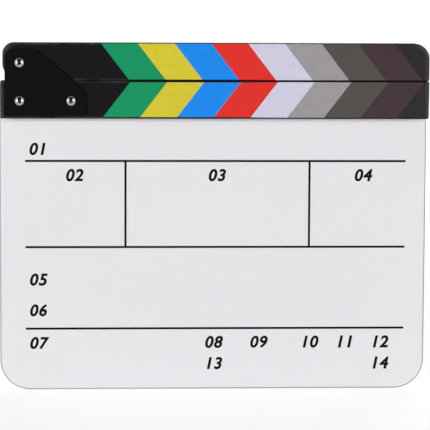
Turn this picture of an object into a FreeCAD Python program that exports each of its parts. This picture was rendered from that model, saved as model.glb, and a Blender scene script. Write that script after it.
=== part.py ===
import FreeCAD, Part
import math
import os

# Clapperboard: a white slate, a fixed stick along its top and a stick that claps down on it.
# Millimetres. +X runs to the right seen from the front, +Z is up and the front faces -Y.
# The origin is the middle of the slate's bottom edge, halfway through its thickness.

# Slate: a sheet of white acrylic
board_width = 300.0
board_thickness = 3.0
board_face_height = 192.5
board_top_inset = 1.0
board_corner_radius = 21.0
board_top_corner_radius = 4.0
board_edge_bevel = 1.0

# Ink rules printed on the slate
ink_thickness = 0.05
rule_width = 1.5
rule_left_margin = 18.0
rule_right_margin = 14.5
top_rule_drop = 30.35
bottom_rule_height = 43.5
middle_rule_share = 0.512
left_field_width = 70.2
right_field_width = 67.9

# Sticks: painted wood
stick_height = 26.2
stick_thickness = 10.0
stick_edge_round = 0.5
stick_tip_extra = 0.5
stick_right_overhang = 0.15
lower_stick_left_inset = 1.3
seam_gap = 0.2
upper_stick_left_inset = 2.95
upper_top_left_radius = 7.6
upper_top_right_radius = 10.8

# The upper stick's lower left corner is rounded nearly about the pivot, this much inside its bottom edge
swing_relief = 0.6

# Hinge plate: flat steel over the left end of both sticks
plate_thickness = 1.5
plate_left_inset = 1.5
plate_right_margin = 10.9
plate_bottom_inset = 1.8
plate_top_inset = 4.4
plate_top_width = 21.25
plate_right_height = 16.8
plate_top_left_radius = 6.0
plate_slope_radius = 10.0
plate_bottom_right_radius = 5.0
plate_bottom_left_radius = 3.0
plate_edge_bevel = 0.3

# Screws through the hinge plate, with domed heads and a cross recess
screw_drop = 0.75
plate_screw_spacing = 35.6
head_diameter = 7.0
head_height = 2.4
head_rim = 0.7
dome_steps = 3
recess_length = 4.0
recess_width = 0.9
recess_depth = 1.3
pivot_recess_turn = 25.0
plate_recess_turns = (62.0, 8.0)
plate_screw_diameter = 3.5
plate_screw_depth = 8.0
screw_point = 2.5

# Pivot: a sleeve on a machine screw, clamped between two washers by a nut
pivot_diameter = 4.0
shank_clearance = 0.1
bush_wall = 1.0
bush_clearance = 0.05
side_play = 0.1
front_washer_thickness = 0.5
front_washer_rim = 1.9
rear_washer_thickness = 0.8
rear_washer_rim = 1.5
nut_width = 7.0
nut_height = 3.2
nut_bevel_angle = 30.0
nut_pocket_room = 1.0
nut_recess = 0.4
screw_end = 0.8
screw_end_bevel = 0.4

# Countersunk screws that hold the slate to the lower stick
board_screw_diameter = 3.5
board_screw_head = 7.0
board_screw_depth = 7.0
board_screw_sunk = 0.1
board_screw_left_inset = 32.5
board_screw_right_inset = 15.0
hole_clearance = 0.05
hole_end_room = 0.3

# Stripes: flat coloured film on the front of each stick, the last colour running to the film's end
film_thickness = 0.12
film_seam_margin = 0.6
film_top_margin = 0.5
film_bottom_margin = 0.9
film_end_margin = 1.6
film_corner_radius = 0.8
stripe_lean = 0.77
upper_stripe_gap = 9.6
lower_stripe_gap = 10.55
upper_stripe_end = 4.6
lower_stripe_end = 2.9
stripe_colours = ("green", "yellow", "blue", "red", "white", "light_grey", "dark_grey", "brown", "charcoal")

# Places of the slate and the sticks
board_left = -board_width / 2
board_right = board_width / 2
board_front = -board_thickness / 2
board_back = board_thickness / 2
board_top = board_face_height + stick_height - board_top_inset
lower_bottom = board_face_height
lower_top = lower_bottom + stick_height
lower_front = board_front - stick_thickness
upper_bottom = lower_top + seam_gap
upper_top = upper_bottom + stick_height
upper_front = lower_front + front_washer_thickness + side_play
upper_back = upper_front + stick_thickness
stick_right = board_right + stick_right_overhang
stick_tip_radius = stick_edge_round + stick_tip_extra

# Places of the hinge
screw_height = stick_height / 2 - screw_drop
upper_end_radius = screw_height - swing_relief
upper_left = board_left + upper_stick_left_inset
pivot_x = upper_left + upper_end_radius
pivot_z = upper_bottom + screw_height
plate_screw_z = lower_bottom + screw_height
plate_screw_places = (pivot_x, pivot_x + plate_screw_spacing)
plate_front = lower_front - plate_thickness
plate_left = upper_left + plate_left_inset
plate_right = pivot_x + plate_screw_spacing + plate_right_margin
pivot_hole_radius = pivot_diameter / 2 + shank_clearance
bush_radius = pivot_hole_radius + bush_wall
rear_washer_radius = bush_radius + rear_washer_rim
nut_pocket_radius = rear_washer_radius + nut_pocket_room
nut_pocket_depth = side_play + rear_washer_thickness + nut_height + screw_end + nut_recess
bush_front = lower_front + front_washer_thickness
bush_length = stick_thickness - nut_pocket_depth + 2 * side_play
rear_washer_front = bush_front + bush_length
nut_front = rear_washer_front + rear_washer_thickness
pivot_end = nut_front + nut_height + screw_end

# Places of the slate's screws and of the stripes
board_screw_z = lower_bottom + stick_height / 2
board_screw_face = board_back - board_screw_sunk
board_screw_places = (board_left + board_screw_left_inset, 0.0, board_right - board_screw_right_inset)
film_right = stick_right - film_end_margin
stripe_run = stripe_lean * stick_height
upper_stripe_start = plate_right + upper_stripe_gap + stripe_run
lower_stripe_start = plate_right + lower_stripe_gap + stripe_run
last_stripe = len(stripe_colours) - 1
upper_stripe_pitch = (stick_right - upper_stripe_end - upper_stripe_start) / last_stripe
lower_stripe_pitch = (stick_right - lower_stripe_end - lower_stripe_start) / last_stripe

# Two places closer than this are the same
same_place = 1e-4


def point(x, y, z):
    return FreeCAD.Vector(x, y, z)


def cylinder(radius, length, x, y, z):
    """A round bar that runs towards the back from (x, y, z)."""
    return Part.makeCylinder(radius, length, point(x, y, z), point(0, 1, 0))


def turned(profile, x, y, z):
    """A turned piece from (radius, depth) points, its axis running from (x, y, z) to the back."""
    points = [point(x + radius, y + depth, z) for radius, depth in profile]
    face = Part.Face(Part.makePolygon(points + points[:1]))
    return face.revolve(point(x, y, z), point(0, 1, 0), 360)


def rounded_outline(corners, y):
    """A closed outline in an upright plane, from corners given as (x, z, radius)."""
    starts = []
    middles = []
    ends = []
    for i, (x, z, radius) in enumerate(corners):
        next_x, next_z, _ = corners[(i + 1) % len(corners)]
        here = point(x, y, z)
        to_before = (point(corners[i - 1][0], y, corners[i - 1][1]) - here).normalize()
        to_next = (point(next_x, y, next_z) - here).normalize()
        half_angle = to_before.getAngle(to_next) / 2
        setback = radius / math.tan(half_angle)
        bisector = (to_before + to_next).normalize()
        starts.append(here + to_before * setback)
        middles.append(here + bisector * (radius / math.sin(half_angle) - radius))
        ends.append(here + to_next * setback)
    edges = []
    for i in range(len(corners)):
        edges.append(Part.Arc(starts[i], middles[i], ends[i]).toShape())
        edges.append(Part.makeLine(ends[i], starts[(i + 1) % len(corners)]))
    return Part.Wire(edges)


def sheet(corners, y, thickness):
    """A flat piece with a rounded outline, from y towards the back."""
    return Part.Face(rounded_outline(corners, y)).extrude(point(0, thickness, 0))


def rims(solid, *planes):
    """The outline edges that lie in the given upright planes."""
    edges = []
    for edge in solid.Edges:
        for plane in planes:
            if max(abs(edge.BoundBox.YMin - plane), abs(edge.BoundBox.YMax - plane)) < same_place:
                edges.append(edge)
    return edges


def cut_cross(head, x, face, z, turn, depth):
    """Cut a screw's cross recess, from its face to a depth that is negative towards the front."""
    for quarter in (0, 90):
        corner = point(x - recess_length / 2, min(face, face + depth), z - recess_width / 2)
        slot = Part.makeBox(recess_length, abs(depth), recess_width, corner)
        slot.rotate(point(x, face, z), point(0, 1, 0), turn + quarter)
        head = head.cut(slot)
    return head


def slate_board():
    corners = (
        (board_left, 0.0, board_corner_radius),
        (board_right, 0.0, board_corner_radius),
        (board_right, board_top, board_top_corner_radius),
        (board_left, board_top, board_top_corner_radius),
    )
    board = sheet(corners, board_front, board_thickness)
    board = board.makeChamfer(board_edge_bevel, rims(board, board_front, board_back))
    head = board_screw_head / 2 + hole_clearance
    shank = board_screw_diameter / 2 + hole_clearance
    cone_end = board_screw_face - (head - shank)
    hole = ((0, board_back), (head, board_back), (head, board_screw_face), (shank, cone_end),
            (shank, board_front), (0, board_front))
    for x in board_screw_places:
        board = board.cut(turned(hole, x, 0.0, board_screw_z))
    return board


def form_rules():
    """Five ink lines: three across the slate and two dividers between the upper pair."""
    left = board_left + rule_left_margin
    right = board_right - rule_right_margin
    top = board_face_height - top_rule_drop
    middle = top - (top - bottom_rule_height) * middle_rule_share
    ink_front = board_front - ink_thickness
    lines = []
    for z in (top, middle, bottom_rule_height):
        corner = point(left, ink_front, z - rule_width / 2)
        lines.append(Part.makeBox(right - left, ink_thickness, rule_width, corner))
    divider_height = top - middle - rule_width
    for x in (left + left_field_width, right - right_field_width):
        corner = point(x - rule_width / 2, ink_front, middle + rule_width / 2)
        lines.append(Part.makeBox(rule_width, ink_thickness, divider_height, corner))
    return Part.makeCompound(lines)


def lower_stick():
    left = board_left + lower_stick_left_inset
    corners = (
        (left, lower_bottom, stick_tip_radius),
        (stick_right, lower_bottom, stick_tip_radius),
        (stick_right, lower_top, stick_tip_radius),
        (left, lower_top, stick_tip_radius),
    )
    stick = sheet(corners, lower_front, stick_thickness)
    stick = stick.makeFillet(stick_edge_round, rims(stick, lower_front))
    plate_hole = plate_screw_depth + hole_end_room
    for x in plate_screw_places:
        radius = plate_screw_diameter / 2 + hole_clearance
        stick = stick.cut(cylinder(radius, plate_hole, x, lower_front, plate_screw_z))
    board_hole = board_screw_depth + hole_end_room
    for x in board_screw_places:
        radius = board_screw_diameter / 2 + hole_clearance
        stick = stick.cut(cylinder(radius, board_hole, x, board_front - board_hole, board_screw_z))
    return stick


def upper_stick():
    corners = (
        (upper_left, upper_bottom, upper_end_radius),
        (stick_right, upper_bottom, stick_tip_radius),
        (stick_right, upper_top, upper_top_right_radius),
        (upper_left, upper_top, upper_top_left_radius),
    )
    stick = sheet(corners, upper_front, stick_thickness)
    stick = stick.makeFillet(stick_edge_round, rims(stick, upper_front, upper_back))
    bore = cylinder(bush_radius + bush_clearance, stick_thickness, pivot_x, upper_front, pivot_z)
    pocket_front = upper_back - nut_pocket_depth
    pocket = cylinder(nut_pocket_radius, nut_pocket_depth, pivot_x, pocket_front, pivot_z)
    return stick.cut(bore).cut(pocket)


def hinge_plate():
    bottom = lower_bottom + plate_bottom_inset
    top = upper_top - plate_top_inset
    corners = (
        (plate_left, bottom, plate_bottom_left_radius),
        (plate_right, bottom, plate_bottom_right_radius),
        (plate_right, bottom + plate_right_height, plate_slope_radius),
        (plate_left + plate_top_width, top, plate_slope_radius),
        (plate_left, top, plate_top_left_radius),
    )
    plate = sheet(corners, plate_front, plate_thickness)
    plate = plate.makeChamfer(plate_edge_bevel, rims(plate, plate_front))
    plate = plate.cut(cylinder(pivot_hole_radius, plate_thickness, pivot_x, plate_front, pivot_z))
    screw_hole_radius = plate_screw_diameter / 2 + shank_clearance
    for x in plate_screw_places:
        plate = plate.cut(cylinder(screw_hole_radius, plate_thickness, x, plate_front, plate_screw_z))
    return plate


def pan_head_screw(x, z, shank, turn):
    """A screw on the plate: a domed head with a cross recess, and a shank of (radius, depth) points."""
    radius = head_diameter / 2
    dome_height = head_height - head_rim
    dome_radius = (radius ** 2 + dome_height ** 2) / (2 * dome_height)
    dome_angle = math.asin(radius / dome_radius)
    profile = []
    for step in range(dome_steps + 1):
        angle = dome_angle * step / dome_steps
        profile.append((dome_radius * math.sin(angle), dome_radius * (1 - math.cos(angle)) - head_height))
    profile.append((radius, 0.0))
    screw = turned(profile + shank, x, plate_front, z)
    return cut_cross(screw, x, plate_front - head_height, z, turn, recess_depth)


def pivot_screw():
    radius = pivot_diameter / 2
    length = pivot_end - plate_front
    bevel_start = length - screw_end_bevel
    shank = [(radius, 0.0), (radius, bevel_start), (radius - screw_end_bevel, length), (0.0, length)]
    return pan_head_screw(pivot_x, pivot_z, shank, pivot_recess_turn)


def plate_screws():
    radius = plate_screw_diameter / 2
    length = plate_thickness + plate_screw_depth
    shank = [(radius, 0.0), (radius, length - screw_point), (0.0, length)]
    screws = []
    for x, turn in zip(plate_screw_places, plate_recess_turns):
        screws.append(pan_head_screw(x, plate_screw_z, shank, turn))
    return Part.makeCompound(screws)


def board_screws():
    head = board_screw_head / 2
    shank = board_screw_diameter / 2
    tip = board_front - board_screw_depth
    profile = ((0, board_screw_face), (head, board_screw_face), (shank, board_screw_face - (head - shank)),
               (shank, tip + screw_point), (0, tip))
    screws = []
    for x in board_screw_places:
        screw = turned(profile, x, 0.0, board_screw_z)
        screws.append(cut_cross(screw, x, board_screw_face, board_screw_z, 0, -recess_depth))
    return Part.makeCompound(screws)


def pivot_ring(outer_radius, y, length):
    """A washer or sleeve on the pivot screw."""
    ring = cylinder(outer_radius, length, pivot_x, y, pivot_z)
    return ring.cut(cylinder(pivot_hole_radius, length, pivot_x, y, pivot_z))


def pivot_nut():
    """A hexagon nut, its corners bevelled at the back."""
    flat = nut_width / 2
    corner_radius = flat / math.cos(math.pi / 6)
    corners = []
    for i in range(6):
        angle = i * math.pi / 3
        corner_x = pivot_x + corner_radius * math.cos(angle)
        corners.append(point(corner_x, nut_front, pivot_z + corner_radius * math.sin(angle)))
    hexagon = Part.Face(Part.makePolygon(corners + corners[:1])).extrude(point(0, nut_height, 0))
    bevel = (corner_radius - flat) * math.tan(math.radians(nut_bevel_angle))
    blank = turned(((0, 0), (corner_radius, 0), (corner_radius, nut_height - bevel), (flat, nut_height),
                    (0, nut_height)), pivot_x, nut_front, pivot_z)
    bore = cylinder(pivot_diameter / 2 + hole_clearance, nut_height, pivot_x, nut_front, pivot_z)
    return hexagon.common(blank).cut(bore)


def film_sheet(front, bottom, top, end_radius):
    """Film stuck flat on the front of a stick, its upper right corner rounded to suit the stick's end."""
    corners = (
        (plate_right, bottom, film_corner_radius),
        (film_right, bottom, film_corner_radius),
        (film_right, top, end_radius),
        (plate_right, top, film_corner_radius),
    )
    return sheet(corners, front - film_thickness, film_thickness)


def stripe(film, index, start, pitch, seam_z, outer_z):
    """A slanted stripe cut from a sheet of film, leaning from the sticks' seam to the outer edge."""
    seam_left = start + index * pitch
    seam_right = seam_left + pitch
    outer_right = seam_right - stripe_run
    if index == last_stripe:
        seam_right = stick_right
        outer_right = stick_right
    front = film.BoundBox.YMin
    corners = [
        point(seam_left, front, seam_z),
        point(seam_right, front, seam_z),
        point(outer_right, front, outer_z),
        point(seam_left - stripe_run, front, outer_z),
    ]
    cutter = Part.Face(Part.makePolygon(corners + corners[:1])).extrude(point(0, film_thickness, 0))
    return film.common(cutter).Solids[0]


upper_film_corner = upper_top_right_radius - film_end_margin
upper_film_bottom = upper_bottom + film_seam_margin
upper_film = film_sheet(upper_front, upper_film_bottom, upper_top - film_top_margin, upper_film_corner)
lower_film_bottom = lower_bottom + film_bottom_margin
lower_film = film_sheet(lower_front, lower_film_bottom, lower_top - film_seam_margin, film_corner_radius)

pieces = {
    "slate_board": slate_board(),
    "form_rules": form_rules(),
    "lower_stick": lower_stick(),
    "upper_stick": upper_stick(),
    "hinge_plate": hinge_plate(),
    "plate_screws": plate_screws(),
    "board_screws": board_screws(),
    "pivot_screw": pivot_screw(),
    "pivot_front_washer": pivot_ring(bush_radius + front_washer_rim, lower_front, front_washer_thickness),
    "pivot_bush": pivot_ring(bush_radius, bush_front, bush_length),
    "pivot_rear_washer": pivot_ring(rear_washer_radius, rear_washer_front, rear_washer_thickness),
    "pivot_nut": pivot_nut(),
}
for index, colour in enumerate(stripe_colours):
    pieces["upper_stripe_" + colour] = stripe(
        upper_film, index, upper_stripe_start, upper_stripe_pitch, upper_bottom, upper_top)
    pieces["lower_stripe_" + colour] = stripe(
        lower_film, index, lower_stripe_start, lower_stripe_pitch, lower_top, lower_bottom)

os.makedirs("parts", exist_ok=True)
for name, shape in pieces.items():
    shape.exportStep("parts/" + name + ".step")
    state = "valid" if shape.isValid() else "not valid"
    print(name, len(shape.Solids), "solids", round(shape.Volume, 2), "mm3", state)
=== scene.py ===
import math
import bmesh
import bpy
from mathutils import Matrix, Vector


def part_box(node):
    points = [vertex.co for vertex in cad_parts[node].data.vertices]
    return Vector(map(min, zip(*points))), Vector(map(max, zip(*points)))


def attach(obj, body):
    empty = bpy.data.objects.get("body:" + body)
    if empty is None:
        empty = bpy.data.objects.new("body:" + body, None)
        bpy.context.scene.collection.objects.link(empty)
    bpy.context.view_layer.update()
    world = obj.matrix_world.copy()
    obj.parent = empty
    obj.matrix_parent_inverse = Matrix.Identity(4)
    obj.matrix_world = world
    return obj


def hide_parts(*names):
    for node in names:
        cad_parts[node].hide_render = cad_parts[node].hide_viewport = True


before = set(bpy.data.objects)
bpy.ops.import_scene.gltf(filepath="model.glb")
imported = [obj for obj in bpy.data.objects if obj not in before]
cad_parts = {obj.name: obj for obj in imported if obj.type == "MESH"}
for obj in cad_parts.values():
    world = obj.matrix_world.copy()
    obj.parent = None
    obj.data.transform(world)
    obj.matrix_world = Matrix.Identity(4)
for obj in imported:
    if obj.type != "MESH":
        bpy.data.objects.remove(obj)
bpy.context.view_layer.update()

# Slate
# A 3 mm sheet of opal white acrylic, cut to shape with two rounded corners and bevelled along every edge.
# Its glossy face takes dry-wipe marker. Three screws from behind hold its top edge to the lower stick.
mm = 0.001
acrylic_white = "E8E7EA"
acrylic_smear = "DFDEE3"
acrylic_edge_shade = "AAAAAE"
acrylic_ior = 1.49
smear_length = 170 * mm
smear_height = 80 * mm
smear_detail = 0.0
smear_from = 0.2
smear_full = 0.8
smear_strength = 0.3
dust_grain = 0.9 * mm
dust_detail = 2.0
dust_strength = 0.3
wipe_length = 60 * mm
wipe_height = 14 * mm
wipe_detail = 1.0
gloss_clean = 0.28
gloss_wiped = 0.34

# How squarely a face looks to the front or back where it begins to be an edge, and where it is all edge
edge_from = 0.95
edge_full = 0.8

# The scale of a noise that is already stretched to its size in mm
as_mapped = 1.0

# The sockets of Blender's colour mix
mix_share = 0
mix_first = 6
mix_second = 7
mix_result = 2


def linear(hex_colour):
    """An sRGB hex colour as linear red, green, blue and full cover, by the standard curve."""
    channels = []
    for start in (0, 2, 4):
        level = int(hex_colour[start:start + 2], 16) / 255
        channels.append(level / 12.92 if level <= 0.04045 else ((level + 0.055) / 1.055) ** 2.4)
    return (*channels, 1.0)


def add_node(owner, kind, inputs, **settings):
    """Add a node to a material or the world. Each input is a plain value or another node's output."""
    tree = owner.node_tree
    node = tree.nodes.new(kind)
    for name, value in settings.items():
        setattr(node, name, value)
    for name, value in inputs.items():
        if isinstance(value, bpy.types.NodeSocket):
            tree.links.new(value, node.inputs[name])
        else:
            node.inputs[name].default_value = value
    return node


def empty_material(name):
    """A new material with no nodes in it."""
    material = bpy.data.materials.new(name)
    material.use_nodes = True
    material.node_tree.nodes.clear()
    return material


def dress(node_name, material):
    """Give a solid of the frame its material."""
    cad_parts[node_name].material_slots[0].material = material


# Cast acrylic gives an even cool white with a soft gloss. Wiping leaves very faint broad smears, slightly
# duller bands along the slate and a trace of marker dust, drawn coarser than it is. The bevelled and cut
# edges are painted greyer than the face, as painted shade.
white_acrylic = empty_material("white_acrylic")
place = add_node(white_acrylic, "ShaderNodeTexCoord", {}).outputs["Object"]
smear_place = add_node(white_acrylic, "ShaderNodeMapping", {
    "Vector": place, "Scale": (1 / smear_length, 1 / smear_height, 1 / smear_height)})
smears = add_node(white_acrylic, "ShaderNodeTexNoise", {
    "Vector": smear_place.outputs["Vector"], "Scale": as_mapped, "Detail": smear_detail})
smear_share = add_node(white_acrylic, "ShaderNodeMapRange", {
    "Value": smears.outputs["Fac"], "From Min": smear_from, "From Max": smear_full, "To Max": smear_strength})
dust = add_node(white_acrylic, "ShaderNodeTexNoise", {
    "Vector": place, "Scale": 1 / dust_grain, "Detail": dust_detail})
dust_share = add_node(white_acrylic, "ShaderNodeMath", {
    0: dust.outputs["Fac"], 1: dust_strength, 2: smear_share.outputs["Result"]}, operation="MULTIPLY_ADD")
face_colour = add_node(white_acrylic, "ShaderNodeMix", {
    mix_share: dust_share.outputs["Value"],
    mix_first: linear(acrylic_white),
    mix_second: linear(acrylic_smear)}, data_type="RGBA")
surface = add_node(white_acrylic, "ShaderNodeNewGeometry", {})
facing = add_node(white_acrylic, "ShaderNodeSeparateXYZ", {"Vector": surface.outputs["True Normal"]})
flatness = add_node(white_acrylic, "ShaderNodeMath", {0: facing.outputs["Y"]}, operation="ABSOLUTE")
is_edge = add_node(white_acrylic, "ShaderNodeMapRange", {
    "Value": flatness.outputs["Value"], "From Min": edge_from, "From Max": edge_full})
# Painted shade: faces turned away from the front and back, the bevels and cut edges, are painted greyer
slate_colour = add_node(white_acrylic, "ShaderNodeMix", {
    mix_share: is_edge.outputs["Result"],
    mix_first: face_colour.outputs[mix_result],
    mix_second: linear(acrylic_edge_shade)}, data_type="RGBA")
wipe_place = add_node(white_acrylic, "ShaderNodeMapping", {
    "Vector": place, "Scale": (1 / wipe_length, 1 / wipe_height, 1 / wipe_height)})
wipes = add_node(white_acrylic, "ShaderNodeTexNoise", {
    "Vector": wipe_place.outputs["Vector"], "Scale": as_mapped, "Detail": wipe_detail})
gloss = add_node(white_acrylic, "ShaderNodeMapRange", {
    "Value": wipes.outputs["Fac"], "To Min": gloss_clean, "To Max": gloss_wiped})
shader = add_node(white_acrylic, "ShaderNodeBsdfPrincipled", {
    "Base Color": slate_colour.outputs[mix_result],
    "Roughness": gloss.outputs["Result"],
    "IOR": acrylic_ior})
add_node(white_acrylic, "ShaderNodeOutputMaterial", {"Surface": shader.outputs["BSDF"]})
dress("slate_board", white_acrylic)

# Form rules
# Five thin lines screen printed on the slate: three across it and two dividers between the upper pair.
# The ink is baked on, so that wiping the slate leaves it in place.
ink_black = "09090B"
ink_thin = "17171B"
ink_mottle = 1.4 * mm
ink_detail = 2.0
ink_thin_from = 0.4
ink_thin_full = 0.75
ink_relief = 0.01 * mm
ink_relief_strength = 0.2
ink_roughness = 0.55
ink_specular = 0.06

# Solvent ink dries to a dense satin black, with thinner spots where the mesh of the screen held less of it
black_ink = empty_material("screen_printed_ink")
place = add_node(black_ink, "ShaderNodeTexCoord", {}).outputs["Object"]
ink_spots = add_node(black_ink, "ShaderNodeTexNoise", {
    "Vector": place, "Scale": 1 / ink_mottle, "Detail": ink_detail})
ink_share = add_node(black_ink, "ShaderNodeMapRange", {
    "Value": ink_spots.outputs["Fac"], "From Min": ink_thin_from, "From Max": ink_thin_full})
ink_colour = add_node(black_ink, "ShaderNodeMix", {
    mix_share: ink_share.outputs["Result"],
    mix_first: linear(ink_black),
    mix_second: linear(ink_thin)}, data_type="RGBA")
relief = add_node(black_ink, "ShaderNodeBump", {
    "Height": ink_spots.outputs["Fac"], "Strength": ink_relief_strength, "Distance": ink_relief})
shader = add_node(black_ink, "ShaderNodeBsdfPrincipled", {
    "Base Color": ink_colour.outputs[mix_result],
    "Roughness": ink_roughness,
    "Specular IOR Level": ink_specular,
    "Normal": relief.outputs["Normal"]})
add_node(black_ink, "ShaderNodeOutputMaterial", {"Surface": shader.outputs["BSDF"]})
dress("form_rules", black_ink)

# Field numerals
# Plain numbers mark the fields of the form, in the same baked ink as the rules.
# They are bold and slanted, and each lies flat on the slate in the place where its field begins.
numeral_height = 8.8 * mm
numeral_slant = 0.2
numeral_boldness = 0.033
numeral_spacing = 1.12
ink_thickness = 0.05 * mm

# A figure comes out with its boldness twice on each side, and is then flattened to the ink's thickness
raw_thickness = 4 * numeral_boldness

# Rows and columns of the form, in mm
left_margin = -129.5
box_row = 152.2
first_row = 33.6
last_row = 18.4

# Each number, its left end and the middle of its height on the slate, in mm
left_numbers = (
    ("01", left_margin, 170.6), ("05", left_margin, 78.4),
    ("06", left_margin, 56.6), ("07", left_margin, 33.2))
box_numbers = (("02", -104.0, box_row), ("03", -4.0, box_row), ("04", 99.0, box_row))
bottom_numbers = (
    ("08", -6.0, first_row), ("09", 26.0, first_row), ("10", 62.0, first_row), ("11", 87.0, first_row),
    ("12", 112.0, first_row), ("13", -6.0, last_row), ("14", 112.0, last_row))

slate_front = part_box("lower_stick")[1].y
numerals = bmesh.new()
for digits, left, middle in left_numbers + box_numbers + bottom_numbers:
    figure = bpy.data.curves.new("numeral", "FONT")
    figure.body = digits
    figure.shear = numeral_slant
    figure.bevel_depth = numeral_boldness
    figure.bevel_resolution = 0
    figure.space_character = numeral_spacing
    figure.extrude = numeral_boldness
    drawing = bpy.data.objects.new("numeral", figure)
    outline = bpy.data.meshes.new_from_object(drawing)
    heights = [vertex.co.y for vertex in outline.vertices]
    scale = numeral_height / (max(heights) - min(heights))
    centre = (max(heights) + min(heights)) / 2
    flattening = ink_thickness / raw_thickness
    outline.transform(Matrix.Translation((0, -centre, 0)))
    outline.transform(Matrix.Diagonal((scale, scale, flattening, 1)))
    outline.transform(Matrix.Rotation(math.pi / 2, 4, "X"))
    outline.transform(Matrix.Translation((left * mm, slate_front - ink_thickness / 2, middle * mm)))
    numerals.from_mesh(outline)
    bpy.data.meshes.remove(outline)
    bpy.data.objects.remove(drawing)
    bpy.data.curves.remove(figure)
numeral_mesh = bpy.data.meshes.new("field_numerals")
numerals.to_mesh(numeral_mesh)
numerals.free()
numeral_mesh.materials.append(black_ink)
field_numerals = bpy.data.objects.new("field_numerals", numeral_mesh)
bpy.context.scene.collection.objects.link(field_numerals)
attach(field_numerals, "slate")

# Sticks
# Two bars of planed hardwood with rounded edges, sprayed black. The lower one is screwed to the slate,
# and the upper one swings on the hinge and claps down on it.
paint_black = "0D0C10"
paint_edge_wear_and_highlight = "3A3839"
paint_rub_and_highlight = "403E3F"
paint_smooth = 0.6
paint_rough = 0.74
paint_specular = 0.1
grain_length = 60 * mm
grain_width = 1.6 * mm
grain_detail = 3.0
grain_distortion = 0.4
grain_relief = 0.05 * mm
grain_relief_strength = 0.35

# The painted highlight and wear of the long edges: how far in it reaches, its patches, and where the film
# begins to cover it
edge_wear_and_highlight_from = 1.6 * mm
edge_wear_and_highlight_full = 0.9 * mm
highlight_and_wear_patch = 9 * mm
highlight_and_wear_detail = 4.0
patch_from = 0.3
patch_full = 0.6
broad_side_spread = 0.65
bare_up_to = -62 * mm
film_covers_from = -58 * mm

# The painted highlight and rubbing of the ends: the rounded corners, how far in from the rim it reaches, and
# how strong it is
left_corner = 7.6 * mm
left_rub_and_highlight = 5.5 * mm
right_corner = 10.8 * mm
right_rub_and_highlight = 3.0 * mm
rim_highlight_full = 0.7 * mm
left_end_highlight_from = -145.9 * mm
left_end_highlight_to = -146.9 * mm
rub_highlight_least = 0.55
rub_highlight_most = 1.15
end_face_highlight = 0.25
end_face_until = 0.5

seam_height = (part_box("lower_stick")[1].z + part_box("upper_stick")[0].z) / 2
stick_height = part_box("upper_stick")[1].z - seam_height


def end_rub_and_highlight(owner, side, corner_radius, reach):
    """How far one end of the sticks and the rounded corner above it are painted lighter: a painted highlight
    and rubbing.

    It is 1 along the rim and 0 at the reach inside it. The side is -1 for the left end and 1 for the right.
    """
    low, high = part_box("upper_stick")
    end = max(side * low.x, side * high.x)
    middle_z = high.z - corner_radius
    spot = add_node(owner, "ShaderNodeTexCoord", {}).outputs["Object"]
    axes = add_node(owner, "ShaderNodeSeparateXYZ", {"Vector": spot})
    past_x = add_node(owner, "ShaderNodeMath", {
        0: axes.outputs["X"], 1: side, 2: corner_radius - end}, operation="MULTIPLY_ADD")
    past_z = add_node(owner, "ShaderNodeMath", {0: axes.outputs["Z"], 1: middle_z}, operation="SUBTRACT")
    out_x = add_node(owner, "ShaderNodeMath", {0: past_x.outputs["Value"], 1: 0.0}, operation="MAXIMUM")
    out_z = add_node(owner, "ShaderNodeMath", {0: past_z.outputs["Value"], 1: 0.0}, operation="MAXIMUM")
    outward = add_node(owner, "ShaderNodeCombineXYZ", {
        "X": out_x.outputs["Value"], "Z": out_z.outputs["Value"]})
    from_middle = add_node(owner, "ShaderNodeVectorMath", {0: outward.outputs["Vector"]}, operation="LENGTH")
    rim = add_node(owner, "ShaderNodeMapRange", {
        "Value": from_middle.outputs["Value"],
        "From Min": corner_radius - reach, "From Max": corner_radius - rim_highlight_full})
    at_end = add_node(owner, "ShaderNodeMapRange", {
        "Value": out_x.outputs["Value"], "From Max": corner_radius / 2})
    rub = add_node(owner, "ShaderNodeMath", {
        0: rim.outputs["Result"], 1: at_end.outputs["Result"]}, operation="MULTIPLY")
    return rub.outputs["Value"]


# Sprayed matt enamel on wood gives a dull black in which the grain still shows as faint long ridges.
# Along the long edges where no film covers them it is painted lighter, as a painted highlight and as wear
# from clapping. The ends and the corners above them are painted lighter, as a painted highlight on the rims
# and as rubbing from knocks.
painted_wood = empty_material("black_painted_wood")
place = add_node(painted_wood, "ShaderNodeTexCoord", {}).outputs["Object"]
surface = add_node(painted_wood, "ShaderNodeNewGeometry", {})
facing = add_node(painted_wood, "ShaderNodeSeparateXYZ", {"Vector": surface.outputs["Normal"]})
flatness = add_node(painted_wood, "ShaderNodeMath", {0: facing.outputs["Y"]}, operation="ABSOLUTE")
broad_side = add_node(painted_wood, "ShaderNodeMath", {
    0: flatness.outputs["Value"], 1: 1.0, 2: broad_side_spread}, operation="COMPARE")
along = add_node(painted_wood, "ShaderNodeSeparateXYZ", {"Vector": place})
above_seam = add_node(painted_wood, "ShaderNodeMath", {
    0: along.outputs["Z"], 1: seam_height}, operation="SUBTRACT")
edge_distance = add_node(painted_wood, "ShaderNodeMath", {
    0: above_seam.outputs["Value"], 1: stick_height / 2}, operation="PINGPONG")
near_edge = add_node(painted_wood, "ShaderNodeMapRange", {
    "Value": edge_distance.outputs["Value"], "From Min": edge_wear_and_highlight_from, "From Max": edge_wear_and_highlight_full})
edge_share = add_node(painted_wood, "ShaderNodeMath", {
    0: broad_side.outputs["Value"], 1: near_edge.outputs["Result"]}, operation="MULTIPLY")
highlight_and_wear_spots = add_node(painted_wood, "ShaderNodeTexNoise", {
    "Vector": place, "Scale": 1 / highlight_and_wear_patch, "Detail": highlight_and_wear_detail})
edge_patches = add_node(painted_wood, "ShaderNodeMapRange", {
    "Value": highlight_and_wear_spots.outputs["Fac"], "From Min": patch_from, "From Max": patch_full})
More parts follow.
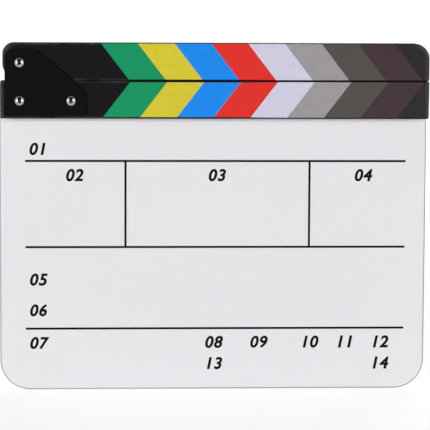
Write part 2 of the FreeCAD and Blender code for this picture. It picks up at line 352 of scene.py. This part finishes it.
edge_wear_and_highlight = add_node(painted_wood, "ShaderNodeMath", {
    0: edge_share.outputs["Value"], 1: edge_patches.outputs["Result"]}, operation="MULTIPLY")
bare_share = add_node(painted_wood, "ShaderNodeMapRange", {
    "Value": along.outputs["X"], "From Min": film_covers_from, "From Max": bare_up_to})
is_back = add_node(painted_wood, "ShaderNodeMath", {
    0: facing.outputs["Y"], 1: 0.0}, operation="GREATER_THAN")
bare_edge = add_node(painted_wood, "ShaderNodeMath", {
    0: bare_share.outputs["Result"], 1: is_back.outputs["Value"]}, operation="MAXIMUM")
bare_edge_wear_and_highlight = add_node(painted_wood, "ShaderNodeMath", {
    0: edge_wear_and_highlight.outputs["Value"], 1: bare_edge.outputs["Value"]}, operation="MULTIPLY")
# Painted highlight and wear: the long edges are mixed towards a lighter grey
edge_colour = add_node(painted_wood, "ShaderNodeMix", {
    mix_share: bare_edge_wear_and_highlight.outputs["Value"],
    mix_first: linear(paint_black),
    mix_second: linear(paint_edge_wear_and_highlight)}, data_type="RGBA")
left_end_rub_and_highlight = add_node(painted_wood, "ShaderNodeMapRange", {
    "Value": along.outputs["X"], "From Min": left_end_highlight_from, "From Max": left_end_highlight_to})
is_upper = add_node(painted_wood, "ShaderNodeMath", {
    0: above_seam.outputs["Value"], 1: 0.0}, operation="GREATER_THAN")
upper_rub_and_highlight = add_node(painted_wood, "ShaderNodeMath", {
    0: end_rub_and_highlight(painted_wood, -1, left_corner, left_rub_and_highlight), 1: is_upper.outputs["Value"]}, operation="MULTIPLY")
left_rub_and_highlight_share = add_node(painted_wood, "ShaderNodeMath", {
    0: left_end_rub_and_highlight.outputs["Result"], 1: upper_rub_and_highlight.outputs["Value"]}, operation="MAXIMUM")
end_rub_and_highlight_share = add_node(painted_wood, "ShaderNodeMath", {
    0: left_rub_and_highlight_share.outputs["Value"], 1: end_rub_and_highlight(painted_wood, 1, right_corner, right_rub_and_highlight)}, operation="MAXIMUM")
rub_and_highlight_patches = add_node(painted_wood, "ShaderNodeMapRange", {
    "Value": highlight_and_wear_spots.outputs["Fac"],
    "From Min": patch_from, "From Max": patch_full, "To Min": rub_highlight_least, "To Max": rub_highlight_most})
patchy_rub_and_highlight = add_node(painted_wood, "ShaderNodeMath", {
    0: end_rub_and_highlight_share.outputs["Value"], 1: rub_and_highlight_patches.outputs["Result"]}, operation="MULTIPLY")
off_end_face = add_node(painted_wood, "ShaderNodeMapRange", {
    "Value": flatness.outputs["Value"], "From Max": end_face_until, "To Min": end_face_highlight})
rub_and_highlight_share = add_node(painted_wood, "ShaderNodeMath", {
    0: patchy_rub_and_highlight.outputs["Value"], 1: off_end_face.outputs["Result"]}, operation="MULTIPLY")
# Painted highlight and rubbing: the ends and the corners above them are mixed towards a lighter grey
stick_colour = add_node(painted_wood, "ShaderNodeMix", {
    mix_share: rub_and_highlight_share.outputs["Value"],
    mix_first: edge_colour.outputs[mix_result],
    mix_second: linear(paint_rub_and_highlight)}, data_type="RGBA")
grain_place = add_node(painted_wood, "ShaderNodeMapping", {
    "Vector": place, "Scale": (1 / grain_length, 1 / grain_width, 1 / grain_width)})
grain = add_node(painted_wood, "ShaderNodeTexNoise", {
    "Vector": grain_place.outputs["Vector"],
    "Scale": as_mapped, "Detail": grain_detail, "Distortion": grain_distortion})
sheen = add_node(painted_wood, "ShaderNodeMapRange", {
    "Value": grain.outputs["Fac"], "To Min": paint_smooth, "To Max": paint_rough})
relief = add_node(painted_wood, "ShaderNodeBump", {
    "Height": grain.outputs["Fac"], "Strength": grain_relief_strength, "Distance": grain_relief})
shader = add_node(painted_wood, "ShaderNodeBsdfPrincipled", {
    "Base Color": stick_colour.outputs[mix_result],
    "Roughness": sheen.outputs["Result"],
    "Specular IOR Level": paint_specular,
    "Normal": relief.outputs["Normal"]})
add_node(painted_wood, "ShaderNodeOutputMaterial", {"Surface": shader.outputs["BSDF"]})
dress("lower_stick", painted_wood)
dress("upper_stick", painted_wood)

# Stripes
# Slanted bands of printed film, stuck on the front of both sticks so that they meet as arrows at the seam.
# The film stops just short of the rounded edges, so that black paint shows along them, and each stick
# has nine colours.
film_colours = {
    "green": "1A9361",
    "yellow": "D4C638",
    "blue": "208AEC",
    "red": "E0342D",
    "white": "CECEE0",
    "light_grey": "9C989C",
    "dark_grey": "53504D",
    "brown": "46373A",
    "charcoal": "2E2C2C",
}
film_smooth = 0.2
film_rough = 0.27
film_specular = 0.2
print_mottle = 3.5 * mm
print_detail = 3.0
print_from = 0.3
print_full = 0.7
print_weak = 0.96
print_strong = 1.03
film_peel = 1.2 * mm
peel_detail = 1.0
peel_relief = 0.02 * mm
peel_relief_strength = 0.2
film_scuff_and_highlight = "4C4A4A"

# The black painted in along the seam as painted shade and along the bottom as a touched-in margin: how far in
# from the film's edge it reaches, and where along the stick it fades
seam_shade_and_touch_black = "0B0B0C"
dark_edge_from = 0.3 * mm
dark_edge_full = 0.18 * mm
left_half_from = 50 * mm
left_half_full = 10 * mm

film_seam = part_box("upper_stripe_green")[0].z - seam_height
film_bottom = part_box("lower_stripe_green")[0].z

# Vinyl film gives a flat strong colour under a satin skin. The print is a little uneven, and the skin has
# a fine orange peel, drawn here about three times as coarse as it is so that it shows. On its left half it is
# darkened along the seam as painted shade and touched in with black along the bottom. Its right end is
# painted lighter, as a painted highlight and as scuffing.
for colour, hex_colour in film_colours.items():
    film = empty_material("vinyl_film_" + colour)
    place = add_node(film, "ShaderNodeTexCoord", {}).outputs["Object"]
    mottle = add_node(film, "ShaderNodeTexNoise", {
        "Vector": place, "Scale": 1 / print_mottle, "Detail": print_detail})
    strength = add_node(film, "ShaderNodeMapRange", {
        "Value": mottle.outputs["Fac"],
        "From Min": print_from, "From Max": print_full, "To Min": print_weak, "To Max": print_strong})
    film_colour = add_node(film, "ShaderNodeHueSaturation", {
        "Color": linear(hex_colour), "Value": strength.outputs["Result"]})
    axes = add_node(film, "ShaderNodeSeparateXYZ", {"Vector": place})
    above_seam = add_node(film, "ShaderNodeMath", {
        0: axes.outputs["Z"], 1: seam_height}, operation="SUBTRACT")
    seam_distance = add_node(film, "ShaderNodeMath", {0: above_seam.outputs["Value"]}, operation="ABSOLUTE")
    # Painted shade: the film is darkened along the seam between the sticks
    seam_painted_shade = add_node(film, "ShaderNodeMapRange", {
        "Value": seam_distance.outputs["Value"],
        "From Min": film_seam + dark_edge_from, "From Max": film_seam + dark_edge_full})
    low_touch = add_node(film, "ShaderNodeMapRange", {
        "Value": axes.outputs["Z"],
        "From Min": film_bottom + dark_edge_from, "From Max": film_bottom + dark_edge_full})
    shade_and_touch = add_node(film, "ShaderNodeMath", {
        0: seam_painted_shade.outputs["Result"], 1: low_touch.outputs["Result"]}, operation="MAXIMUM")
    left_half = add_node(film, "ShaderNodeMapRange", {
        "Value": axes.outputs["X"], "From Min": left_half_from, "From Max": left_half_full})
    shade_and_touch_share = add_node(film, "ShaderNodeMath", {
        0: shade_and_touch.outputs["Value"], 1: left_half.outputs["Result"]}, operation="MULTIPLY")
    shaded_and_touched_colour = add_node(film, "ShaderNodeMix", {
        mix_share: shade_and_touch_share.outputs["Value"],
        mix_first: film_colour.outputs["Color"],
        mix_second: linear(seam_shade_and_touch_black)}, data_type="RGBA")
    # Painted highlight and scuffing: the film's right end is mixed towards a lighter grey
    scuffed_and_lit_colour = add_node(film, "ShaderNodeMix", {
        mix_share: end_rub_and_highlight(film, 1, right_corner, right_rub_and_highlight),
        mix_first: shaded_and_touched_colour.outputs[mix_result],
        mix_second: linear(film_scuff_and_highlight)}, data_type="RGBA")
    peel = add_node(film, "ShaderNodeTexNoise", {
        "Vector": place, "Scale": 1 / film_peel, "Detail": peel_detail})
    skin = add_node(film, "ShaderNodeMapRange", {
        "Value": peel.outputs["Fac"], "To Min": film_smooth, "To Max": film_rough})
    relief = add_node(film, "ShaderNodeBump", {
        "Height": peel.outputs["Fac"], "Strength": peel_relief_strength, "Distance": peel_relief})
    shader = add_node(film, "ShaderNodeBsdfPrincipled", {
        "Base Color": scuffed_and_lit_colour.outputs[mix_result],
        "Roughness": skin.outputs["Result"],
        "Specular IOR Level": film_specular,
        "Normal": relief.outputs["Normal"]})
    add_node(film, "ShaderNodeOutputMaterial", {"Surface": shader.outputs["BSDF"]})
    dress("upper_stripe_" + colour, film)
    dress("lower_stripe_" + colour, film)

# Hinge plate
# A flat blank of 1.5 mm steel, punched out with rounded corners and a sloping side, and powder coated.
# Two screws fix it to the lower stick, and the pivot screw passes through its top corner.
coat_black = "050506"
coat_grain = "0B0B0C"
coat_roughness = 0.55
coat_specular = 0.06
powder_grain = 0.8 * mm
powder_detail = 2.0
powder_relief = 0.03 * mm
powder_relief_strength = 0.5

# Powder coat gives a dull near-black with a fine even grain, drawn here about twice as coarse as it is
coated_steel = empty_material("black_powder_coat")
place = add_node(coated_steel, "ShaderNodeTexCoord", {}).outputs["Object"]
powder = add_node(coated_steel, "ShaderNodeTexNoise", {
    "Vector": place, "Scale": 1 / powder_grain, "Detail": powder_detail})
coat_colour = add_node(coated_steel, "ShaderNodeMix", {
    mix_share: powder.outputs["Fac"],
    mix_first: linear(coat_black),
    mix_second: linear(coat_grain)}, data_type="RGBA")
relief = add_node(coated_steel, "ShaderNodeBump", {
    "Height": powder.outputs["Fac"], "Strength": powder_relief_strength, "Distance": powder_relief})
shader = add_node(coated_steel, "ShaderNodeBsdfPrincipled", {
    "Base Color": coat_colour.outputs[mix_result],
    "Roughness": coat_roughness,
    "Specular IOR Level": coat_specular,
    "Normal": relief.outputs["Normal"]})
add_node(coated_steel, "ShaderNodeOutputMaterial", {"Surface": shader.outputs["BSDF"]})
dress("hinge_plate", coated_steel)

# Pan-head screws
# Three cold-headed steel screws with a domed head and a struck cross recess, nickel plated.
# Two are driven into the lower stick, and the machine screw above them is the axle of the upper stick.
nickel_bright = "B4B0A8"
nickel_dull = "827F78"
nickel_smooth = 0.16
nickel_rough = 0.34
scuff_length = 1.5 * mm
scuff_width = 0.25 * mm
scuff_detail = 2.0
scuff_from = 0.45
scuff_full = 0.75
recess_shade_dark = "1C1A16"
recess_shade_light = "433E36"
recess_mottle_size = 0.6 * mm
recess_mottle_detail = 2.0
recess_metallic = 0.6
recess_roughness = 0.5

# The domed head with its rounded rim
turn_segments = 64
dome_steps = 14
head_height = 2.4 * mm
head_rim = 0.6 * mm
rim_round = 0.25 * mm
sharp_angle = math.radians(35)

# The cross recess: length and width of the cross at its mouth and at its floor, depth, and turns in degrees
recess_mouth = (4.0 * mm, 1.25 * mm)
recess_floor = (1.7 * mm, 0.8 * mm)
recess_depth = 1.6 * mm
pivot_turn = 25
plate_turns = (62, 8)

# The shanks, and the thread that shows behind the nut
wood_screw_radius = 1.75 * mm
wood_screw_point = 2.5 * mm
axle_radius = 2.0 * mm
thread_pitch = 0.7 * mm
thread_depth = 0.4 * mm
thread_steps = 6


def plated_steel(name, bright, dull, smooth, rough):
    """Plated steel: bright metal with fine scuffs that are duller and rougher."""
    metal = empty_material(name)
    spot = add_node(metal, "ShaderNodeTexCoord", {}).outputs["Object"]
    scuff_place = add_node(metal, "ShaderNodeMapping", {
        "Vector": spot, "Scale": (1 / scuff_length, 1 / scuff_width, 1 / scuff_width)})
    scuffs = add_node(metal, "ShaderNodeTexNoise", {
        "Vector": scuff_place.outputs["Vector"], "Scale": as_mapped, "Detail": scuff_detail})
    share = add_node(metal, "ShaderNodeMapRange", {
        "Value": scuffs.outputs["Fac"], "From Min": scuff_from, "From Max": scuff_full})
    colour = add_node(metal, "ShaderNodeMix", {
        mix_share: share.outputs["Result"],
        mix_first: linear(bright),
        mix_second: linear(dull)}, data_type="RGBA")
    polish = add_node(metal, "ShaderNodeMapRange", {
        "Value": share.outputs["Result"], "To Min": smooth, "To Max": rough})
    bsdf = add_node(metal, "ShaderNodeBsdfPrincipled", {
        "Base Color": colour.outputs[mix_result],
        "Metallic": 1.0,
        "Roughness": polish.outputs["Result"]})
    add_node(metal, "ShaderNodeOutputMaterial", {"Surface": bsdf.outputs["BSDF"]})
    return metal


def turned(profile, thread_from=None):
    """A turned mesh from (radius, depth) points, its axis running to the back, threaded from a depth on."""
    mesh = bmesh.new()
    rings = []
    for radius, depth in profile:
        if radius == 0:
            rings.append([mesh.verts.new((0, depth, 0))])
            continue
        ring = []
        for i in range(turn_segments):
            turn = i / turn_segments
            groove = 0.0
            if thread_from is not None and depth > thread_from:
                groove = thread_depth * abs(2 * ((depth / thread_pitch - turn) % 1) - 1)
            angle = 2 * math.pi * turn
            cut = radius - groove
            ring.append(mesh.verts.new((cut * math.cos(angle), depth, cut * math.sin(angle))))
        rings.append(ring)
    # A tip is a ring of one point, so its faces have three corners
    for first, second in zip(rings, rings[1:]):
        for i in range(turn_segments):
            j = i + 1
            near_pair = (first[i % len(first)], first[j % len(first)])
            far_pair = (second[j % len(second)], second[i % len(second)])
            mesh.faces.new(dict.fromkeys(near_pair + far_pair))
    bmesh.ops.recalc_face_normals(mesh, faces=mesh.faces)
    return mesh


def cross_punch(face):
    """The tapered punch that strikes a cross recess into a head whose face is at the given depth."""
    mesh = bmesh.new()
    rings = []
    levels = (
        (face - recess_depth / 2, recess_mouth),
        (face, recess_mouth),
        (face + recess_depth, recess_floor),
    )
    for depth, (length, width) in levels:
        ring = []
        for quarter in range(4):
            turn = Matrix.Rotation(-quarter * math.pi / 2, 4, "Y")
            for x, z in ((width / 2, -width / 2), (length / 2, -width / 2), (length / 2, width / 2)):
                ring.append(mesh.verts.new(turn @ Vector((x, depth, z))))
        rings.append(ring)
    for first, second in zip(rings, rings[1:]):
        for i in range(len(first)):
            j = (i + 1) % len(first)
            mesh.faces.new((first[i], first[j], second[j], second[i]))
    mesh.faces.new(rings[0])
    mesh.faces.new(rings[-1])
    bmesh.ops.recalc_face_normals(mesh, faces=mesh.faces)
    return mesh


def struck(blank, face, turn):
    """A screw's mesh: the turned blank with a cross recess struck in its face at a turn in degrees."""
    objects = []
    for slot_used, part in enumerate((blank, cross_punch(face))):
        mesh = bpy.data.meshes.new("blank")
        for side in part.faces:
            side.material_index = slot_used
            side.smooth = True
        part.to_mesh(mesh)
        part.free()
        # Two empty slots keep the faces of the recess apart from the rest
        mesh.materials.append(None)
        mesh.materials.append(None)
        piece = bpy.data.objects.new("blank", mesh)
        bpy.context.scene.collection.objects.link(piece)
        objects.append(piece)
    objects[1].data.transform(Matrix.Rotation(math.radians(turn), 4, "Y"))
    strike = objects[0].modifiers.new("strike", "BOOLEAN")
    strike.operation = "DIFFERENCE"
    strike.solver = "EXACT"
    strike.object = objects[1]
    graph = bpy.context.evaluated_depsgraph_get()
    screw = bpy.data.meshes.new_from_object(objects[0].evaluated_get(graph))
    for piece in objects:
        bpy.data.meshes.remove(piece.data)
    return screw


def gathered(name, meshes, materials):
    """One piece made of several meshes, with the given materials in its slots."""
    joined = bmesh.new()
    for mesh in meshes:
        joined.from_mesh(mesh)
        bpy.data.meshes.remove(mesh)
    whole = bpy.data.meshes.new(name)
    joined.to_mesh(whole)
    joined.free()
    for material in materials:
        whole.materials.append(material)
    whole.set_sharp_from_angle(angle=sharp_angle)
    piece = bpy.data.objects.new(name, whole)
    bpy.context.scene.collection.objects.link(piece)
    return piece


def pan_head(radius):
    """The profile of a pan head, from the middle of its dome to its seat on the plate at depth 0."""
    dome_height = head_height - head_rim
    dome_radius = (radius ** 2 + dome_height ** 2) / (2 * dome_height)
    dome_angle = math.asin((radius - rim_round) / dome_radius)
    profile = []
    for step in range(dome_steps + 1):
        angle = dome_angle * step / dome_steps
        profile.append((dome_radius * math.sin(angle), dome_radius * (1 - math.cos(angle)) - head_height))
    profile.append((radius, -head_rim + rim_round / 2))
    profile.append((radius, -rim_round / 2))
    profile.append((radius - rim_round / 2, 0.0))
    return profile


# Nickel plate is a warm bright mirror, scuffed by the driver. Scuffs are drawn a little wider than they are
plated_nickel = plated_steel("nickel_plated_steel", nickel_bright, nickel_dull, nickel_smooth, nickel_rough)

# The inside of each recess is painted dark: painted shade, with marker dust and old polish
recess_shade_and_grime = empty_material("recess_shade_and_grime")
place = add_node(recess_shade_and_grime, "ShaderNodeTexCoord", {}).outputs["Object"]
recess_mottle = add_node(recess_shade_and_grime, "ShaderNodeTexNoise", {
    "Vector": place, "Scale": 1 / recess_mottle_size, "Detail": recess_mottle_detail})
# Painted shade: the recess is given dark colours
recess_shade_colour = add_node(recess_shade_and_grime, "ShaderNodeMix", {
    mix_share: recess_mottle.outputs["Fac"],
    mix_first: linear(recess_shade_dark),
    mix_second: linear(recess_shade_light)}, data_type="RGBA")
shader = add_node(recess_shade_and_grime, "ShaderNodeBsdfPrincipled", {
    "Base Color": recess_shade_colour.outputs[mix_result],
    "Metallic": recess_metallic,
    "Roughness": recess_roughness})
add_node(recess_shade_and_grime, "ShaderNodeOutputMaterial", {"Surface": shader.outputs["BSDF"]})

plate_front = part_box("hinge_plate")[0].y
plate_low, plate_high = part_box("plate_screws")
head_radius = (plate_high.z - plate_low.z) / 2
plate_screw_z = (plate_high.z + plate_low.z) / 2
plate_screw_length = plate_high.y - plate_front
wood_screws = []
for screw_x, turn in zip((plate_low.x + head_radius, plate_high.x - head_radius), plate_turns):
    profile = pan_head(head_radius)
    profile.append((wood_screw_radius, 0.0))
    profile.append((wood_screw_radius, plate_screw_length - wood_screw_point))
    profile.append((0, plate_screw_length))
    screw = struck(turned(profile), -head_height, turn)
    screw.transform(Matrix.Translation((screw_x, plate_front, plate_screw_z)))
    wood_screws.append(screw)
plate_pan_screws = gathered("plate_pan_screws", wood_screws, (plated_nickel, recess_shade_and_grime))
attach(plate_pan_screws, "slate")
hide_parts("plate_screws")

pivot_low, pivot_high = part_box("pivot_screw")
pivot_x = (pivot_low.x + pivot_high.x) / 2
pivot_z = (pivot_low.z + pivot_high.z) / 2
axle_length = pivot_high.y - plate_front
thread_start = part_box("pivot_nut")[0].y - plate_front
thread_length = axle_length - thread_start
thread_rings = round(thread_length / thread_pitch * thread_steps)
profile = pan_head(head_radius)
profile.append((axle_radius, 0.0))
for step in range(thread_rings):
    profile.append((axle_radius, thread_start + thread_length * step / thread_rings))
profile.append((axle_radius - thread_depth / 2, axle_length))
profile.append((0, axle_length))
screw = struck(turned(profile, thread_start), -head_height, pivot_turn)
screw.transform(Matrix.Translation((pivot_x, plate_front, pivot_z)))
pivot_pan_screw = gathered("pivot_pan_screw", [screw], (plated_nickel, recess_shade_and_grime))
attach(pivot_pan_screw, "slate")
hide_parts("pivot_screw")

# Pivot
# A brass sleeve on the machine screw carries the upper stick. A thin nylon washer keeps the stick off the
# plate, and a steel washer and a nut close the stack in a round pocket in the stick's back.
zinc_bright = "B9BDC2"
zinc_dull = "8F959C"
zinc_smooth = 0.28
zinc_rough = 0.45
brass = "B99A55"
brass_dull = "8E7440"
brass_roughness = 0.3
turning_groove = 0.12 * mm
groove_detail = 1.0
nylon_black = "141415"
nylon_grey = "222224"
nylon_patch = 1.0 * mm
nylon_detail = 2.0
nylon_roughness = 0.55
nylon_ior = 1.53

# Zinc plate is a cooler and softer mirror than nickel
plated_zinc = plated_steel("zinc_plated_steel", zinc_bright, zinc_dull, zinc_smooth, zinc_rough)
dress("pivot_rear_washer", plated_zinc)
dress("pivot_nut", plated_zinc)

# Turned brass shows the fine rings that the cutting tool left round it
turned_brass = empty_material("turned_brass")
place = add_node(turned_brass, "ShaderNodeTexCoord", {}).outputs["Object"]
rings_place = add_node(turned_brass, "ShaderNodeMapping", {
    "Vector": place, "Scale": (1.0, 1 / turning_groove, 1.0)})
grooves = add_node(turned_brass, "ShaderNodeTexNoise", {
    "Vector": rings_place.outputs["Vector"], "Scale": as_mapped, "Detail": groove_detail})
brass_colour = add_node(turned_brass, "ShaderNodeMix", {
    mix_share: grooves.outputs["Fac"],
    mix_first: linear(brass),
    mix_second: linear(brass_dull)}, data_type="RGBA")
shader = add_node(turned_brass, "ShaderNodeBsdfPrincipled", {
    "Base Color": brass_colour.outputs[mix_result],
    "Metallic": 1.0,
    "Roughness": brass_roughness})
add_node(turned_brass, "ShaderNodeOutputMaterial", {"Surface": shader.outputs["BSDF"]})
dress("pivot_bush", turned_brass)

# Moulded nylon is a waxy dull black, a little cloudy
black_nylon = empty_material("black_nylon")
place = add_node(black_nylon, "ShaderNodeTexCoord", {}).outputs["Object"]
cloud = add_node(black_nylon, "ShaderNodeTexNoise", {
    "Vector": place, "Scale": 1 / nylon_patch, "Detail": nylon_detail})
nylon_colour = add_node(black_nylon, "ShaderNodeMix", {
    mix_share: cloud.outputs["Fac"],
    mix_first: linear(nylon_black),
    mix_second: linear(nylon_grey)}, data_type="RGBA")
shader = add_node(black_nylon, "ShaderNodeBsdfPrincipled", {
    "Base Color": nylon_colour.outputs[mix_result],
    "Roughness": nylon_roughness,
    "IOR": nylon_ior})
add_node(black_nylon, "ShaderNodeOutputMaterial", {"Surface": shader.outputs["BSDF"]})
dress("pivot_front_washer", black_nylon)

# Slate screws
# Three countersunk wood screws of zinc-plated steel, driven from behind through the slate into the lower
# stick. Their flat heads lie just below the back of the slate.
slate_screw_radius = 1.75 * mm
slate_screw_point = 2.5 * mm
slate_screw_turns = (20, 71, 48)
flat_round = 0.15 * mm

grip_low, grip_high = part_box("board_screws")
flat_radius = (grip_high.z - grip_low.z) / 2
grip_length = grip_high.y - grip_low.y
cone_depth = flat_radius - slate_screw_radius
slate_screw_z = (grip_low.z + grip_high.z) / 2
slate_screw_places = (grip_low.x + flat_radius, 0.0, grip_high.x - flat_radius)
slate_screws = []
for screw_x, turn in zip(slate_screw_places, slate_screw_turns):
    profile = [
        (0, 0.0),
        (flat_radius - flat_round, 0.0),
        (flat_radius, flat_round),
        (slate_screw_radius, cone_depth),
        (slate_screw_radius, grip_length - slate_screw_point),
        (0, grip_length),
    ]
    screw = struck(turned(profile), 0.0, turn)
    screw.transform(Matrix.Rotation(math.pi, 4, "Z"))
    screw.transform(Matrix.Translation((screw_x, grip_high.y, slate_screw_z)))
    slate_screws.append(screw)
slate_flat_screws = gathered("slate_flat_screws", slate_screws, (plated_zinc, recess_shade_and_grime))
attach(slate_flat_screws, "slate")
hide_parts("board_screws")

# Studio
# A white floor, two large softboxes low in front, one behind, and a weak even glow from all round.
# A dark mat, card and canopy round the camera give the black film and the plated heads something dark
# to reflect, and stay out of every shot. Lengths here are in metres.
floor_white = "F3F3F2"
floor_shade = "A3A3A3"
pure_white = "FFFFFF"
white_level = 1.0
floor_reach = 9.0
near_glow = 0.79
near_reach = 0.5
far_reach = 2.0
card_dark = "1A1A1B"
card_distance = 5.0
card_half_width = 2.4
card_height = 3.2
mat_start = 1.75
mat_lift = 0.001
canopy_end = 0.4
aim_height = 0.13
front_lamp_aside = 2.3
front_lamp_ahead = 2.2
front_lamp_height = 0.5
front_lamp_size = (1.4, 0.9)
left_power = 70
right_power = 48
rear_lamp_place = (0.8, 2.9, 1.3)
rear_lamp_size = (1.8, 1.8)
rear_power = 78
ambient_level = 0.15


def seen_as_background(owner):
    """1 for the rays that look at the background: from the camera, or by way of a mirror or clear glass."""
    rays = add_node(owner, "ShaderNodeLightPath", {})
    straight = add_node(owner, "ShaderNodeMath", {
        0: rays.outputs["Is Camera Ray"], 1: rays.outputs["Is Glossy Ray"]}, operation="MAXIMUM")
    through = add_node(owner, "ShaderNodeMath", {
        0: straight.outputs["Value"], 1: rays.outputs["Is Transmission Ray"]}, operation="MAXIMUM")
    return through.outputs["Value"]


def flat_stage(name, half_width, near, far, material, in_shot):
    """A flat surface of the studio, from a near edge to a far one, each at a given y and z.

    It isn't part of the object. One that is out of shot only shows in reflections.
    """
    mesh = bpy.data.meshes.new(name)
    corners = [(-half_width, *near), (half_width, *near), (half_width, *far), (-half_width, *far)]
    mesh.from_pydata(corners, [], [range(len(corners))])
    mesh.materials.append(material)
    surface_piece = bpy.data.objects.new(name, mesh)
    surface_piece.visible_camera = in_shot
    bpy.context.scene.collection.objects.link(surface_piece)


def softbox(name, place, size, power):
    """A soft lamp that looks at the object."""
    lamp = bpy.data.lights.new(name, "AREA")
    lamp.shape = "RECTANGLE"
    lamp.size, lamp.size_y = size
    lamp.energy = power
    holder = bpy.data.objects.new(name, lamp)
    bpy.context.scene.collection.objects.link(holder)
    holder.location = place
    aim = Vector((0, 0, aim_height)) - Vector(place)
    holder.rotation_euler = aim.to_track_quat("-Z", "Y").to_euler()


# White paper on the floor is matt and takes the shadow. Where it is looked at, its own white is dimmed and
# a glow makes up the rest, so that the shadow is soft near the object and the floor is pure white further off
white_floor = empty_material("white_floor")
looked_at = seen_as_background(white_floor)
paper_colour = add_node(white_floor, "ShaderNodeMix", {
    mix_share: looked_at,
    mix_first: linear(floor_white),
    mix_second: linear(floor_shade)}, data_type="RGBA")
matt_white = add_node(white_floor, "ShaderNodeBsdfDiffuse", {"Color": paper_colour.outputs[mix_result]})
floor_spot = add_node(white_floor, "ShaderNodeTexCoord", {}).outputs["Object"]
distance = add_node(white_floor, "ShaderNodeVectorMath", {0: floor_spot}, operation="LENGTH")
glow_level = add_node(white_floor, "ShaderNodeMapRange", {
    "Value": distance.outputs["Value"],
    "From Min": near_reach, "From Max": far_reach, "To Min": near_glow, "To Max": white_level})
glow_strength = add_node(white_floor, "ShaderNodeMath", {
    0: looked_at, 1: glow_level.outputs["Result"]}, operation="MULTIPLY")
glow = add_node(white_floor, "ShaderNodeEmission", {"Strength": glow_strength.outputs["Value"]})
floor_sum = add_node(white_floor, "ShaderNodeAddShader", {
    0: matt_white.outputs["BSDF"], 1: glow.outputs["Emission"]})
add_node(white_floor, "ShaderNodeOutputMaterial", {"Surface": floor_sum.outputs["Shader"]})
flat_stage("floor", floor_reach, (-floor_reach, 0), (floor_reach, 0), white_floor, True)

# Black card is matt and nearly as dark as the sticks
dark_card = empty_material("dark_card")
matt_black = add_node(dark_card, "ShaderNodeBsdfDiffuse", {"Color": linear(card_dark)})
add_node(dark_card, "ShaderNodeOutputMaterial", {"Surface": matt_black.outputs["BSDF"]})
dark_surfaces = (
    ("card", (-card_distance, 0), (-card_distance, card_height)),
    ("mat", (-card_distance, mat_lift), (-mat_start, mat_lift)),
    ("canopy", (-card_distance, card_height), (-canopy_end, card_height)),
)
for name, near, far in dark_surfaces:
    flat_stage(name, card_half_width, near, far, dark_card, False)

left_place = (-front_lamp_aside, -front_lamp_ahead, front_lamp_height)
right_place = (front_lamp_aside, -front_lamp_ahead, front_lamp_height)
softbox("left_softbox", left_place, front_lamp_size, left_power)
softbox("right_softbox", right_place, front_lamp_size, right_power)
softbox("rear_softbox", rear_lamp_place, rear_lamp_size, rear_power)

world = bpy.data.worlds.new("studio")
bpy.context.scene.world = world
world.use_nodes = True
world.node_tree.nodes.clear()
ambient = add_node(world, "ShaderNodeBackground", {"Color": linear(pure_white), "Strength": ambient_level})
backdrop = add_node(world, "ShaderNodeBackground", {"Color": linear(pure_white), "Strength": white_level})
sky = add_node(world, "ShaderNodeMixShader", {
    0: seen_as_background(world), 1: ambient.outputs["Background"], 2: backdrop.outputs["Background"]})
add_node(world, "ShaderNodeOutputWorld", {"Surface": sky.outputs["Shader"]})
bpy.context.scene.view_settings.view_transform = "Standard"

# Camera
# It stands 1.6 m in front of the slate, a little to the left and above, and looks slightly down and to the
# right. The long lens keeps the sides of the slate nearly parallel. Turn, dip and roll are in degrees.
camera_place = (-77.1 * mm, -1601.5 * mm, 300.6 * mm)
camera_turn = 2.80
camera_dip = 6.29
camera_roll = 0.27
sensor_width = 36.0
lens_length = 191.7
lens = bpy.data.cameras.new("camera")
lens.sensor_width = sensor_width
lens.lens = lens_length
camera = bpy.data.objects.new("camera", lens)
bpy.context.scene.collection.objects.link(camera)
camera.matrix_world = (
    Matrix.Translation(camera_place)
    @ Matrix.Rotation(math.radians(-camera_turn), 4, "Z")
    @ Matrix.Rotation(math.radians(90 - camera_dip), 4, "X")
    @ Matrix.Rotation(math.radians(camera_roll), 4, "Z")
)
bpy.context.scene.camera = camera
